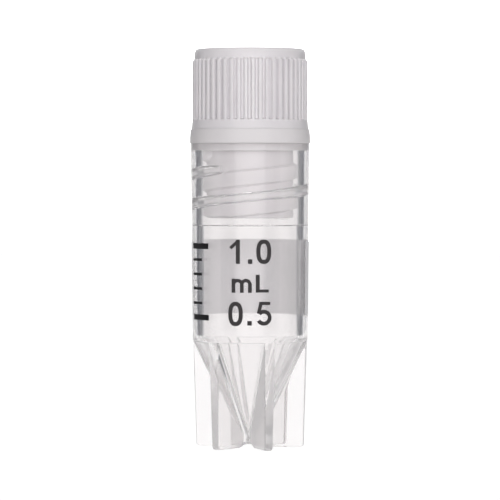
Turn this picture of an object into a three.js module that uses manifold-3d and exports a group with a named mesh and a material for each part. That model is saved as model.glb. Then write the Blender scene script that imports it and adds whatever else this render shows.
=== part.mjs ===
// A self-standing cryogenic vial with an internal thread: a moulded tube with a star foot,
// a knurled screw cap and the sealing ring between them.
// Millimetres, +Z up. The origin is the centre of the foot, on the surface the vial stands on.
// Azimuth 0 faces -Y, the printed side, and grows towards +X.
import * as THREE from 'three';
import { mergeVertices } from 'three/addons/utils/BufferGeometryUtils.js';
import Module from 'manifold-3d';

const wasm = await Module();
wasm.setup();

// Tube: heights of its three stretches, from the floor up
const FOOT_HEIGHT = 11.0;
const BODY_LENGTH = 12.1;
const THREAD_ZONE_LENGTH = 8.4;
// Tube: bore and walls
const BORE_RADIUS = 4.95;
const SHOULDER_STEP = 0.11;
const BASE_WALL = 1.02;
const MOUTH_WALL = 1.12;
const MOUTH_CHAMFER = 0.35;
const RIM_EDGE_ROUND = 0.15;
const LEDGE_STEP = 0.22;
const LEDGE_ROUND = 0.15;
// Cone-shaped bottom
const CONE_WALL = 0.82;
const CONE_TIP_RADIUS = 1.2;
const CONE_TIP_CLEARANCE = 0.8;
// Star foot
const FIN_COUNT = 6;
const FIN_THICKNESS = 0.85;
const FIN_FIRST_AZIMUTH = 20.3;
const FIN_TOP_SETBACK = 0.04;
const FIN_DRAFT = 0.33;
const FIN_CORNER_ROUND = 0.35;
const FOOT_RELIEF_RADIUS = 2.0;
const FOOT_RELIEF_STEP = 0.3;
const FOOT_RELIEF_DEPTH = 0.6;

// Thread: one right-handed start, shared by the tube and the plug. Widths are along the axis.
const THREAD_PITCH = 3.1;
const THREAD_FLANK_CLEARANCE = 0.14;
const THREAD_CREST_CLEARANCE = 0.18;
const THREAD_END_MARGIN = 0.08;
const RIDGE_DEPTH = 0.4;
const RIDGE_SINK = 0.2;
const TUBE_RIDGE = { rootWidth: 1.35, crestWidth: 0.9, leadIn: 55 };
const PLUG_RIDGE = { rootWidth: 1.5, crestWidth: 1.05, leadIn: 30 };
const TUBE_RIDGE_BELOW_RIM = 2.68;
const TUBE_RIDGE_TOP_AZIMUTH = -30;
const PLUG_RIDGE_BELOW_RIM = 1.35;

// Sealing ring
const RING_THICKNESS = 1.45;
const RING_OVERHANG = 0.02;
const RING_BULGE = 0.05;
const RING_BULGE_SHARE = 0.3;
const RING_EDGE_ROUND = 0.16;
const RING_NECK_CLEARANCE = 0.08;

// Screw cap
const BAND_HEIGHT = 1.05;
const BAND_SETBACK = 0.1;
const BAND_FLARE = 0.09;
const KNURL_HEIGHT = 6.1;
const KNURL_DEPTH = 0.2;
const KNURL_COLLAR_WALL = 0.6;
const RIB_COUNT = 50;
const RIB_CREST_SHARE = 0.4;
const RIB_ROOT_SHARE = 0.72;
const CROWN_HEIGHT = 1.15;
const CROWN_EDGE_ROUND = 0.4;
const CROWN_RIM_WIDTH = 1.5;
const TOP_RECESS_DEPTH = 0.5;
const CAP_TOP_WALL = 1.2;
const PLUG_LENGTH = 7.7;
const PLUG_END_CHAMFER = 0.25;
const PLUG_WALL = 1.1;
const PLUG_HOLLOW_DRAFT = 0.15;
const HOLLOW_ROUND = 0.5;

// Facets
const TURN_SEGMENTS = 60;
const ARC_SEGMENTS = 4;

// Heights that follow from the sizes above
const SHOULDER_Z = FOOT_HEIGHT + BODY_LENGTH;
const RIM_Z = SHOULDER_Z + THREAD_ZONE_LENGTH;
const FLANGE_Z = RIM_Z + RING_THICKNESS;
const KNURL_Z = FLANGE_Z + BAND_HEIGHT;
const CROWN_Z = KNURL_Z + KNURL_HEIGHT;
const TOP_Z = CROWN_Z + CROWN_HEIGHT;
const PLUG_END_Z = RIM_Z - PLUG_LENGTH;
// Radii that follow from the bore
const MOUTH_BORE_RADIUS = BORE_RADIUS + SHOULDER_STEP;
const TUBE_RIM_RADIUS = MOUTH_BORE_RADIUS + MOUTH_WALL;
const TUBE_BASE_RADIUS = BORE_RADIUS + BASE_WALL;
const TUBE_RIDGE_CREST = MOUTH_BORE_RADIUS - RIDGE_DEPTH;
const PLUG_RIDGE_CREST = MOUTH_BORE_RADIUS - THREAD_CREST_CLEARANCE;
const PLUG_RADIUS = TUBE_RIDGE_CREST - THREAD_CREST_CLEARANCE;
const RING_RADIUS = TUBE_RIM_RADIUS + RING_OVERHANG;
const BAND_LOWER_RADIUS = TUBE_RIM_RADIUS - BAND_SETBACK;
const KNURL_RADIUS = BAND_LOWER_RADIUS - BAND_FLARE;
const KNURL_ROOT_RADIUS = KNURL_RADIUS - KNURL_DEPTH;

const DEGREE = Math.PI / 180;
const angleOf = (azimuth) => (azimuth - 90) * DEGREE;
const point = (radius, height) => new THREE.Vector2(radius, height);

// Points of an arc in the (radius, height) plane, from one angle to another, both in degrees.
function arc(radius, height, size, from, to) {
  return Array.from({ length: ARC_SEGMENTS + 1 }, (_, i) => {
    const turn = (from + ((to - from) * i) / ARC_SEGMENTS) * DEGREE;
    return point(Math.max(0, radius + size * Math.cos(turn)), height + size * Math.sin(turn));
  });
}

// Merges a closed mesh's shared corners, drops the slivers on the axis and makes a solid of it.
function solidOf(geometry) {
  const bare = geometry.clone();
  bare.deleteAttribute('normal');
  bare.deleteAttribute('uv');
  const merged = mergeVertices(bare);
  const corners = merged.index.array;
  const triangles = [];
  for (let i = 0; i < corners.length; i += 3) {
    const [a, b, c] = corners.subarray(i, i + 3);
    if (a !== b && b !== c && c !== a) triangles.push(a, b, c);
  }
  return new wasm.Manifold(
    new wasm.Mesh({
      numProp: 3,
      vertProperties: new Float32Array(merged.attributes.position.array),
      triVerts: new Uint32Array(triangles),
    }),
  );
}

// The three.js geometry of a solid.
function geometryOf(solid) {
  const mesh = solid.getMesh();
  const geometry = new THREE.BufferGeometry();
  geometry.setAttribute('position', new THREE.BufferAttribute(mesh.vertProperties, 3));
  geometry.setIndex(new THREE.BufferAttribute(mesh.triVerts, 1));
  geometry.computeVertexNormals();
  return geometry;
}

// A profile of (radius, height) points turned about +Z. It runs counter-clockwise in that plane.
function turned(points) {
  return solidOf(new THREE.LatheGeometry(points, TURN_SEGMENTS).rotateX(Math.PI / 2));
}

// A helical ridge on a wall: a trapezium swept down a right-handed helix, from its top end to
// just above a floor. Its crest sinks into the wall over the lead-in angle at both ends.
function threadRidge({ ridge, wall, crest, topAzimuth, topZ, floorZ }) {
  const { rootWidth, crestWidth, leadIn } = ridge;
  const sink = Math.sign(wall - crest) * RIDGE_SINK;
  const section = new THREE.Shape([
    point(wall + sink, -rootWidth / 2),
    point(crest, -crestWidth / 2),
    point(crest, crestWidth / 2),
    point(wall + sink, rootWidth / 2),
  ]);
  const turns = (topZ - rootWidth / 2 - floorZ - THREAD_END_MARGIN) / THREAD_PITCH;
  const sweep = turns * 2 * Math.PI;
  const steps = Math.round(turns * TURN_SEGMENTS);
  const swept = new THREE.ExtrudeGeometry(section, { depth: sweep, steps, bevelEnabled: false });
  const at = swept.attributes.position;
  const buried = wall + sink / 2;
  for (let i = 0; i < at.count; i += 1) {
    const along = at.getZ(i);
    const nearEnd = Math.min(along, sweep - along) / (leadIn * DEGREE);
    const rise = Math.sin((Math.min(1, nearEnd) * Math.PI) / 2);
    const onCrest = Math.abs(at.getX(i) - crest) < RIDGE_SINK / 2;
    const radius = onCrest ? buried + (crest - buried) * rise : at.getX(i);
    const turn = angleOf(topAzimuth) - along;
    const height = topZ + at.getY(i) - (THREAD_PITCH * along) / (2 * Math.PI);
    at.setXYZ(i, radius * Math.cos(turn), radius * Math.sin(turn), height);
  }
  return solidOf(swept);
}

// The cone runs from the ledge to a tangent on its ball-shaped tip. Its half angle follows.
function coneLine() {
  const topRadius = TUBE_BASE_RADIUS - LEDGE_STEP;
  const ballZ = CONE_TIP_CLEARANCE + CONE_TIP_RADIUS;
  const rise = FOOT_HEIGHT - ballZ;
  const halfAngle =
    Math.atan2(topRadius, rise) - Math.asin(CONE_TIP_RADIUS / Math.hypot(topRadius, rise));
  // Radius of the surface that lies the given depth under the cone's outside, at a height.
  const radiusAt = (height, depth) =>
    (CONE_TIP_RADIUS - depth + (height - ballZ) * Math.sin(halfAngle)) / Math.cos(halfAngle);
  const heightAt = (radius, depth) =>
    ballZ + (radius * Math.cos(halfAngle) - CONE_TIP_RADIUS + depth) / Math.sin(halfAngle);
  return { topRadius, ballZ, halfAngle, radiusAt, heightAt };
}

// Wall of the tube with its cone-shaped bottom, from the outside of the tip round to the inside.
function tubeShell(cone) {
  const tip = -cone.halfAngle / DEGREE;
  const rimRadius = TUBE_RIM_RADIUS - RIM_EDGE_ROUND;
  const innerTip = CONE_TIP_RADIUS - CONE_WALL;
  return turned([
    ...arc(0, cone.ballZ, CONE_TIP_RADIUS, -90, tip),
    point(cone.topRadius, FOOT_HEIGHT),
    ...arc(TUBE_BASE_RADIUS - LEDGE_ROUND, FOOT_HEIGHT + LEDGE_ROUND, LEDGE_ROUND, -90, 0),
    ...arc(rimRadius, RIM_Z - RIM_EDGE_ROUND, RIM_EDGE_ROUND, 0, 90),
    point(MOUTH_BORE_RADIUS + MOUTH_CHAMFER, RIM_Z),
    point(MOUTH_BORE_RADIUS, RIM_Z - MOUTH_CHAMFER),
    point(MOUTH_BORE_RADIUS, SHOULDER_Z),
    point(BORE_RADIUS, SHOULDER_Z - SHOULDER_STEP),
    point(BORE_RADIUS, cone.heightAt(BORE_RADIUS, CONE_WALL)),
    ...arc(0, cone.ballZ, innerTip, tip, -90),
  ]);
}

// One radial fin. Its inner edge runs inside the cone's wall, and its foot is relieved near the
// axis so that the vial stands on the outer ends.
function footFin(cone) {
  const topRadius = TUBE_BASE_RADIUS - FIN_TOP_SETBACK;
  const footRadius = topRadius - FIN_DRAFT;
  const buried = CONE_WALL / 2;
  const rootZ = cone.ballZ - CONE_TIP_RADIUS + buried;
  const top = FOOT_HEIGHT + buried / 2;
  const outline = new THREE.Shape([
    point(0, FOOT_RELIEF_DEPTH),
    point(FOOT_RELIEF_RADIUS, FOOT_RELIEF_STEP),
    point(FOOT_RELIEF_RADIUS, 0),
    ...arc(footRadius - FIN_CORNER_ROUND, FIN_CORNER_ROUND, FIN_CORNER_ROUND, -90, 0),
    point(topRadius, FOOT_HEIGHT + LEDGE_ROUND),
    point(cone.topRadius, top),
    point(cone.radiusAt(FOOT_HEIGHT, buried), FOOT_HEIGHT),
    point(cone.radiusAt(cone.ballZ, buried), cone.ballZ),
    point(0, rootZ),
  ]);
  const fin = new THREE.ExtrudeGeometry(outline, { depth: FIN_THICKNESS, bevelEnabled: false });
  return fin.translate(0, 0, -FIN_THICKNESS / 2).rotateX(Math.PI / 2);
}

function vialTube() {
  const cone = coneLine();
  let body = tubeShell(cone);
  for (let i = 0; i < FIN_COUNT; i += 1) {
    const turn = angleOf(FIN_FIRST_AZIMUTH + (360 / FIN_COUNT) * i);
    body = body.add(solidOf(footFin(cone).rotateZ(turn)));
  }
  return body.add(
    threadRidge({
      ridge: TUBE_RIDGE,
      wall: MOUTH_BORE_RADIUS,
      crest: TUBE_RIDGE_CREST,
      topAzimuth: TUBE_RIDGE_TOP_AZIMUTH,
      topZ: RIM_Z - TUBE_RIDGE_BELOW_RIM,
      floorZ: SHOULDER_Z,
    }),
  );
}

// Crown, flange, plug and the hollow inside it, from the hollow's ceiling round to the top recess.
function capShell() {
  const ceiling = TOP_Z - TOP_RECESS_DEPTH - CAP_TOP_WALL;
  const hollowEnd = PLUG_RADIUS - PLUG_WALL;
  const hollowTop = hollowEnd - PLUG_HOLLOW_DRAFT;
  const plugEdge = PLUG_RADIUS - PLUG_END_CHAMFER;
  const crownEdge = KNURL_ROOT_RADIUS - CROWN_EDGE_ROUND;
  const recess = KNURL_ROOT_RADIUS - CROWN_RIM_WIDTH;
  return turned([
    point(0, ceiling),
    ...arc(hollowTop - HOLLOW_ROUND, ceiling - HOLLOW_ROUND, HOLLOW_ROUND, 90, 0),
    point(hollowEnd, PLUG_END_Z),
    point(plugEdge, PLUG_END_Z),
    point(PLUG_RADIUS, PLUG_END_Z + PLUG_END_CHAMFER),
    point(PLUG_RADIUS, FLANGE_Z),
    point(BAND_LOWER_RADIUS, FLANGE_Z),
    point(KNURL_RADIUS, KNURL_Z),
    point(KNURL_ROOT_RADIUS, KNURL_Z),
    ...arc(crownEdge, TOP_Z - CROWN_EDGE_ROUND, CROWN_EDGE_ROUND, 0, 90),
    point(recess, TOP_Z),
    point(recess, TOP_Z - TOP_RECESS_DEPTH),
    point(0, TOP_Z - TOP_RECESS_DEPTH),
  ]);
}

// The grip's upright ribs, as one star-shaped collar round the cap's wall.
function knurl() {
  const corners = [
    [-RIB_ROOT_SHARE / 2, KNURL_ROOT_RADIUS],
    [-RIB_CREST_SHARE / 2, KNURL_RADIUS],
    [RIB_CREST_SHARE / 2, KNURL_RADIUS],
    [RIB_ROOT_SHARE / 2, KNURL_ROOT_RADIUS],
  ];
  const outline = Array.from({ length: RIB_COUNT }, (_, i) =>
    corners.map(([share, radius]) => {
      const turn = ((i + share) * 2 * Math.PI) / RIB_COUNT;
      return new THREE.Vector2(radius * Math.cos(turn), radius * Math.sin(turn));
    }),
  ).flat();
  const star = new THREE.Shape(outline);
  const inside = KNURL_ROOT_RADIUS - KNURL_COLLAR_WALL;
  star.holes.push(new THREE.Path().absarc(0, 0, inside, 0, 2 * Math.PI, true));
  const collar = new THREE.ExtrudeGeometry(star, { depth: KNURL_HEIGHT, bevelEnabled: false });
  return solidOf(collar.translate(0, 0, KNURL_Z));
}

// The plug's ridge bears upwards on the tube's ridge, one flank clearance below it. Its top
// azimuth is where the shared helix reaches its height.
function plugRidge() {
  const halfWidths =
    (TUBE_RIDGE.crestWidth + PLUG_RIDGE.rootWidth + TUBE_RIDGE.rootWidth + PLUG_RIDGE.crestWidth) / 4;
  const topZ = RIM_Z - PLUG_RIDGE_BELOW_RIM;
  const aboveTubeRidge =
    topZ + halfWidths + THREAD_FLANK_CLEARANCE - (RIM_Z - TUBE_RIDGE_BELOW_RIM);
  return threadRidge({
    ridge: PLUG_RIDGE,
    wall: PLUG_RADIUS,
    crest: PLUG_RIDGE_CREST,
    topAzimuth: TUBE_RIDGE_TOP_AZIMUTH + (360 * aboveTubeRidge) / THREAD_PITCH,
    topZ,
    floorZ: PLUG_END_Z,
  });
}

function screwCap() {
  return capShell().add(knurl()).add(plugRidge());
}

// A washer with rounded outer edges and a slight bulge where the rim squeezes it.
function sealingRing() {
  const neck = PLUG_RADIUS + RING_NECK_CLEARANCE;
  const bulge = RING_RADIUS + RING_BULGE;
  const round = RING_EDGE_ROUND;
  return turned([
    point(neck, RIM_Z),
    ...arc(bulge - round, RIM_Z + round, round, -90, 0),
    point(bulge, RIM_Z + RING_THICKNESS * RING_BULGE_SHARE),
    ...arc(RING_RADIUS - round, FLANGE_Z - round, round, 0, 90),
    point(neck, FLANGE_Z),
    point(neck, RIM_Z),
  ]);
}

function named(name, solid, material) {
  const mesh = new THREE.Mesh(geometryOf(solid), new THREE.MeshStandardMaterial(material));
  mesh.name = name;
  return mesh;
}

const group = new THREE.Group();
group.add(
  named('vial_tube', vialTube(), {
    color: 0xf0eeee,
    roughness: 0.08,
    metalness: 0,
    transparent: true,
    opacity: 0.35,
  }),
  named('sealing_ring', sealingRing(), { color: 0xdcd9da, roughness: 0.45, metalness: 0 }),
  named('screw_cap', screwCap(), { color: 0xe2dfe0, roughness: 0.4, metalness: 0 }),
);

export default group;
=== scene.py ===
"""Looks of a self-standing cryogenic vial: clear tube with a star foot, sealing ring, screw cap.

Sizes are in millimetres until a mesh is made, which is in metres. Azimuth 0 faces -Y, the printed
side of the tube, and grows towards +X. Heights are measured from the surface the vial stands on.
"""

import logging
import math
from collections.abc import Callable
from dataclasses import dataclass
from enum import Enum

import bmesh
import bpy
import numpy as np
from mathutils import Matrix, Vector


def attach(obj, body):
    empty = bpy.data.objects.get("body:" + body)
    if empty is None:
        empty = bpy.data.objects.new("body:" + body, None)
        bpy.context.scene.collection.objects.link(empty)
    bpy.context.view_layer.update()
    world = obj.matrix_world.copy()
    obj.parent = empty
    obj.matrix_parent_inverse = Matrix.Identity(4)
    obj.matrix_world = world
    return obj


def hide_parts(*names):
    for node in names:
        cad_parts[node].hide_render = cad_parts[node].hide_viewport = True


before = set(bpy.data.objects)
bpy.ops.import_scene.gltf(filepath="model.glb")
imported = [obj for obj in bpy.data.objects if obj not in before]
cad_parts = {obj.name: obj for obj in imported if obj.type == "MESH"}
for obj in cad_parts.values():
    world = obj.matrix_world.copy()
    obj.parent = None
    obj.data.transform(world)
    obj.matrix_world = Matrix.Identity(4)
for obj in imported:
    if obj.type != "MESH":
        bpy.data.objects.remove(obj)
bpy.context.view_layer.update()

Array = np.ndarray
Skin = tuple[Array, Array]
Pair = tuple[float, float]
Colour = tuple[float, float, float, float]
Object, Node, Socket, Tree = bpy.types.Object, bpy.types.Node, bpy.types.NodeSocket, bpy.types.NodeTree

MM = 0.001
TINY = 1e-6
# Corners closer than this become one, which joins the seams and closes the poles.
WELD_MM = 2e-4
log = logging.getLogger("cryovial")


class Body(Enum):
    """The vial's bodies that pieces ride on."""

    TUBE = "tube"
    SEAL = "seal"
    CAP = "cap"


class Slot(Enum):
    """The vial's material slots."""

    CLEAR_TUBE = "clear_tube"
    SEAL = "seal"
    CAP = "cap"
    DARK_INK = "dark_ink"
    WHITE_INK = "white_ink"


# ---- Shapes as arrays ----


def smooth_step(share: Array) -> Array:
    """Cubic ease 3x^2 - 2x^3 of a share held between 0 and 1."""
    held = np.clip(share, 0.0, 1.0)
    return held * held * (3.0 - 2.0 * held)


def polar(radius: Array, azimuth: Array, height: Array) -> Array:
    """Points at a radius and an azimuth in degrees round +Z, at a height.

    Args:
        radius: distance from the axis, mm.
        azimuth: degrees from -Y, growing towards +X.
        height: height above the floor, mm.

    Returns:
        An array whose last axis is x, y, z in metres.
    """
    turn = np.radians(azimuth - 90.0)
    parts = np.broadcast_arrays(radius * np.cos(turn), radius * np.sin(turn), height)
    return np.stack(parts, axis=-1) * MM


def arc(centre: Pair, size: float, start: float, end: float, count: int) -> Array:
    """Points of an arc in the (radius, height) plane, from one angle to another in degrees.

    Args:
        centre: radius and height of the arc's centre, mm.
        size: the arc's own radius, mm.
        start: first angle, counter-clockwise from the outward direction.
        end: last angle.
        count: number of points.

    Returns:
        An array of (radius, height) pairs.
    """
    turn = np.radians(np.linspace(start, end, count))
    return np.stack([centre[0] + size * np.cos(turn), centre[1] + size * np.sin(turn)], axis=-1)


def line(start: Pair | Array, end: Pair | Array | float, count: int) -> Array:
    """Evenly spaced places from one to another, without the first one.

    Args:
        start: a (radius, height) pair, or one value for each column.
        end: the same for the last place.
        count: number of places.

    Returns:
        One row for each place.
    """
    share = np.linspace(0.0, 1.0, count + 1)[1:, None]
    return np.asarray(start) + share * (np.asarray(end) - np.asarray(start))


def corner_cut(distance: Array, size: float) -> Array:
    """How far a quarter-circle corner stays back from its edge, at a distance from the corner."""
    left = size - np.clip(distance, 0.0, size)
    return size - np.sqrt(size * size - left * left)


def fillet(before: Array, corner: Array, after: Array, size: float, count: int) -> Array:
    """Points that round a corner of a profile with an arc of the given radius.

    The arc touches both sides at size / tan(half the corner's angle) from the corner, and its
    centre lies on the line that halves that angle.

    Args:
        before: a point on the side that leads to the corner.
        corner: the corner.
        after: a point on the side that leaves it.
        size: the arc's radius, mm.
        count: number of points.

    Returns:
        An array of (radius, height) pairs from the first touching point to the second.
    """
    back = (before - corner) / np.linalg.norm(before - corner)
    on = (after - corner) / np.linalg.norm(after - corner)
    half = math.acos(float(np.clip(back @ on, -1.0, 1.0))) / 2.0
    middle = (back + on) / np.linalg.norm(back + on)
    centre = corner + middle * size / math.sin(half)
    first = corner + back * size / math.tan(half) - centre
    last = corner + on * size / math.tan(half) - centre
    sweep = math.pi - 2.0 * half
    share = np.linspace(0.0, 1.0, count)[:, None]
    return centre + (np.sin((1.0 - share) * sweep) * first + np.sin(share * sweep) * last) / math.sin(sweep)


def ringed(points: Array) -> Array:
    """A grid with its first column repeated after the last, so that its rows close into rings."""
    return np.concatenate([points, points[:, :1]], axis=1)


def looped(points: Array) -> Array:
    """A grid that closes both ways, into rings round the axis and loops across them."""
    closed = np.concatenate([points, points[:1]])
    return ringed(closed)


def closed_skin(patches: list[Array]) -> Skin:
    """Triangles over grids of points that meet one another all round.

    Each cell is cut in two, and all are turned round if the enclosed volume comes out negative.
    Corners that share a place are joined when the piece is made.

    Args:
        patches: grids of x, y, z, one row of points per station, all turned the same way.

    Returns:
        The corners and the triangles that use them.
    """
    cells, start = [], 0
    for points in patches:
        count, around = points.shape[:2]
        row, column = np.meshgrid(np.arange(count - 1), np.arange(around - 1), indexing="ij")
        a = start + row * around + column
        b, c, d = a + 1, a + around + 1, a + around
        cells += [np.stack([a, b, c], axis=-1).reshape(-1, 3), np.stack([a, c, d], axis=-1).reshape(-1, 3)]
        start += count * around
    corners = np.concatenate([points.reshape(-1, 3) for points in patches])
    triangles = np.concatenate(cells)
    p, q, r = (corners[triangles[:, side]] for side in range(3))
    if np.einsum("ij,ij->", p, np.cross(q, r)) < 0:
        triangles = triangles[:, ::-1]
    return corners, triangles


def piece(name: str, skins: list[Skin], sharp: float = 40.0) -> Object:
    """One mesh object made of closed skins, shaded smooth up to a given edge angle.

    Corners closer than the weld distance become one, and triangles that this leaves with no
    area are dropped.

    Args:
        name: the piece's name.
        skins: corners and triangles of each closed skin.
        sharp: angle in degrees from which an edge stays sharp.

    Returns:
        The object, at the origin and linked to the scene.
    """
    starts = np.cumsum([0] + [len(corners) for corners, _ in skins[:-1]])
    corners = np.concatenate([skin[0] for skin in skins])
    triangles = np.concatenate([skin[1] + start for skin, start in zip(skins, starts)])
    mesh = bpy.data.meshes.new(name)
    mesh.from_pydata(corners.tolist(), [], triangles.tolist())
    shape = bmesh.new()
    shape.from_mesh(mesh)
    bmesh.ops.remove_doubles(shape, verts=shape.verts, dist=WELD_MM * MM)
    shape.to_mesh(mesh)
    shape.free()
    mesh.polygons.foreach_set("use_smooth", np.ones(len(mesh.polygons), dtype=bool))
    mesh.set_sharp_from_angle(angle=math.radians(sharp))
    mesh.update()
    made = bpy.data.objects.new(name, mesh)
    bpy.context.scene.collection.objects.link(made)
    return made


def settle(made: Object, finish: "Finish", body: Body) -> None:
    """Gives a piece its material and its body, and reports it.

    Args:
        made: the piece.
        finish: what it is made of.
        body: the CAD body that it moves with.
    """
    made.data.materials.append(finish.material())
    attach(made, body.value)
    log.info("%s: %d triangles, rides on %s", made.name, len(made.data.polygons), body.value)


# ---- Finishes ----


def linear(hex_colour: str) -> Colour:
    """Turns an sRGB colour into a linear one.

    Args:
        hex_colour: six hex digits, such as "e2dfe0".

    Returns:
        Red, green and blue from 0 to 1, and an alpha of 1.
    """
    parts = [int(hex_colour[i : i + 2], 16) / 255.0 for i in (0, 2, 4)]
    r, g, b = (p / 12.92 if p <= 0.04045 else ((p + 0.055) / 1.055) ** 2.4 for p in parts)
    return (r, g, b, 1.0)


def add_node(tree: Tree, kind: str, inputs: dict | None = None, settings: dict | None = None) -> Node:
    """Adds a node with its settings, and links or sets its inputs.

    Args:
        tree: the node tree.
        kind: the node's type.
        inputs: sockets to link from, or plain values, by the input's name or number.
        settings: properties of the node.

    Returns:
        The node.
    """
    node = tree.nodes.new(kind)
    for key, value in (settings or {}).items():
        setattr(node, key, value)
    for key, value in (inputs or {}).items():
        if isinstance(value, Socket):
            tree.links.new(value, node.inputs[key])
        else:
            node.inputs[key].default_value = value
    return node


def wire_steps(tree: Tree, found: dict[str, object], steps: tuple) -> None:
    """Writes a calculation as nodes, one for each step, and keeps each result by its name.

    Args:
        tree: where the nodes go.
        found: results so far by name; each step's result is added.
        steps: (name, operation, terms...), where a term is a number or a result's name. LINEAR
            and SMOOTHSTEP ramp from one bound to another, and then between two results.
    """
    for name, operation, *terms in steps:
        ramp = operation in ("LINEAR", "SMOOTHSTEP")
        kind = "ShaderNodeMapRange" if ramp else "ShaderNodeMath"
        settings = {"interpolation_type" if ramp else "operation": operation}
        inputs = {place: found.get(term, term) for place, term in enumerate(terms)}
        found[name] = add_node(tree, kind, inputs, settings).outputs[0]


def noise_inputs(place: Socket, size_mm: float, detail: float) -> dict[str, object]:
    """A noise whose features are that many mm across, on Object coordinates in metres."""
    return {"Vector": place, "Scale": 1.0 / (size_mm * MM), "Detail": detail}


def clouded(tree: Tree, noise: dict[str, object], shades: tuple[str, str]) -> tuple[Socket, Socket]:
    """A colour that wanders between two shades as a noise does.

    Args:
        tree: the material's nodes.
        noise: the noise's inputs.
        shades: the two colours, sRGB hex.

    Returns:
        The sockets of the noise and of the colour.
    """
    level = add_node(tree, "ShaderNodeTexNoise", noise).outputs["Fac"]
    ends = {0: level, 6: linear(shades[0]), 7: linear(shades[1])}
    return level, add_node(tree, "ShaderNodeMix", ends, {"data_type": "RGBA"}).outputs[2]


def grained(tree: Tree, noise: dict[str, object], height_mm: float) -> Socket:
    """The surface's normal, tilted as by a relief that follows a noise.

    Args:
        tree: the material's nodes.
        noise: the noise's inputs.
        height_mm: the relief's height.

    Returns:
        The socket of the normal.
    """
    level = add_node(tree, "ShaderNodeTexNoise", noise).outputs["Fac"]
    relief = {"Height": level, "Distance": height_mm * MM, "Strength": 1.0}
    return add_node(tree, "ShaderNodeBump", relief).outputs["Normal"]


@dataclass(frozen=True)
class Finish:
    """What every finish has: a name and a tree to build its look in."""

    name: str

    def material(self) -> bpy.types.Material:
        """The material of this name, made the first time that it is asked for."""
        known = bpy.data.materials.get(self.name)
        if known is not None:
            return known
        made = bpy.data.materials.new(self.name)
        made.use_nodes = True
        made.node_tree.nodes.clear()
        surface = self.surface(made.node_tree)
        add_node(made.node_tree, "ShaderNodeOutputMaterial", {"Surface": surface})
        return made

    def surface(self, tree: Tree) -> Socket:
        """The shader socket of this finish; each kind of finish has its own."""
        raise NotImplementedError


@dataclass(frozen=True)
class ClearPolypropylene(Finish):
    """Clear injection-moulded polypropylene, polished like its mould.

    It is glassy and bends light as its index of 1.49 says. Its crystals scatter a little, so it
    is never quite clear, and a skin seen at a slant looks milky. The eye also sees a slow
    waviness where the melt shrank unevenly. Lamps reach what is inside it.
    """

    tint: str = "fdfbfb"
    shade: str = "fefefe"
    milk: str = "f2eff0"
    milk_roughness: float = 0.35
    ior: float = 1.49
    roughness: float = 0.06
    haze: float = 0.09
    foot_slant_haze: float = 1.1
    wall_slant_haze: float = 0.26
    ridge_haze: float = 0.3
    ridge_from_mm: float = 5.1
    ridge_crest_mm: float = 4.85
    thread_from_mm: float = 23.2
    foot_top_mm: float = 10.9
    wall_from_mm: float = 11.4
    wave_mm: float = 4.0
    wave_height_mm: float = 0.0015

    def surface(self, tree: Tree) -> Socket:
        """Glass-like shader with a slow bump, milky at a slant, and a pale veil towards lamps.

        The milky share is the haze plus the slant haze times the square of one minus the cosine
        of the angle at which the skin is seen. The foot's mould is less polished than the wall's,
        so its slant haze is the larger one. The thread's ridge is thicker plastic and adds its own.

        Args:
            tree: the material's nodes.

        Returns:
            The socket of the shader.
        """
        place = add_node(tree, "ShaderNodeTexCoord").outputs["Object"]
        skin = {
            "Base Color": linear(self.tint),
            "Roughness": self.roughness,
            "IOR": self.ior,
            "Transmission Weight": 1.0,
            "Normal": grained(tree, noise_inputs(place, self.wave_mm, 1.0), self.wave_height_mm),
        }
        clear = add_node(tree, "ShaderNodeBsdfPrincipled", skin)
        milk = {"Base Color": linear(self.milk), "Roughness": self.milk_roughness}
        milky = add_node(tree, "ShaderNodeBsdfPrincipled", milk)
        x, y, z = add_node(tree, "ShaderNodeSeparateXYZ", {0: place}).outputs
        slant = add_node(tree, "ShaderNodeLayerWeight", {"Blend": 0.5}).outputs["Facing"]
        found: dict[str, object] = {"x": x, "y": y, "z": z, "slant": slant}
        wall = (self.foot_top_mm * MM, self.wall_from_mm * MM, self.foot_slant_haze, self.wall_slant_haze)
        crest = (self.ridge_from_mm * MM, self.ridge_crest_mm * MM, 0.0, self.ridge_haze)
        steps = (
            ("slant squared", "MULTIPLY", "slant", "slant"),
            ("slant haze", "LINEAR", "z", *wall),
            ("x squared", "MULTIPLY", "x", "x"),
            ("level squared", "MULTIPLY_ADD", "y", "y", "x squared"),
            ("reach", "SQRT", "level squared"),
            ("ridge", "LINEAR", "reach", *crest),
            ("in thread", "GREATER_THAN", "z", self.thread_from_mm * MM),
            ("own haze", "MULTIPLY_ADD", "in thread", "ridge", self.haze),
            ("all haze", "MULTIPLY_ADD", "slant squared", "slant haze", "own haze"),
            ("share", "MINIMUM", "all haze", 1.0),
        )
        wire_steps(tree, found, steps)
        body = add_node(
            tree, "ShaderNodeMixShader", {0: found["share"], 1: clear.outputs[0], 2: milky.outputs[0]}
        )
        veil = add_node(tree, "ShaderNodeBsdfTransparent", {"Color": linear(self.shade)}).outputs[0]
        path = add_node(tree, "ShaderNodeLightPath").outputs
        for ray in ("Is Diffuse Ray", "Is Shadow Ray"):
            body = add_node(tree, "ShaderNodeMixShader", {0: path[ray], 1: body.outputs[0], 2: veil})
        return body.outputs[0]


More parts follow.
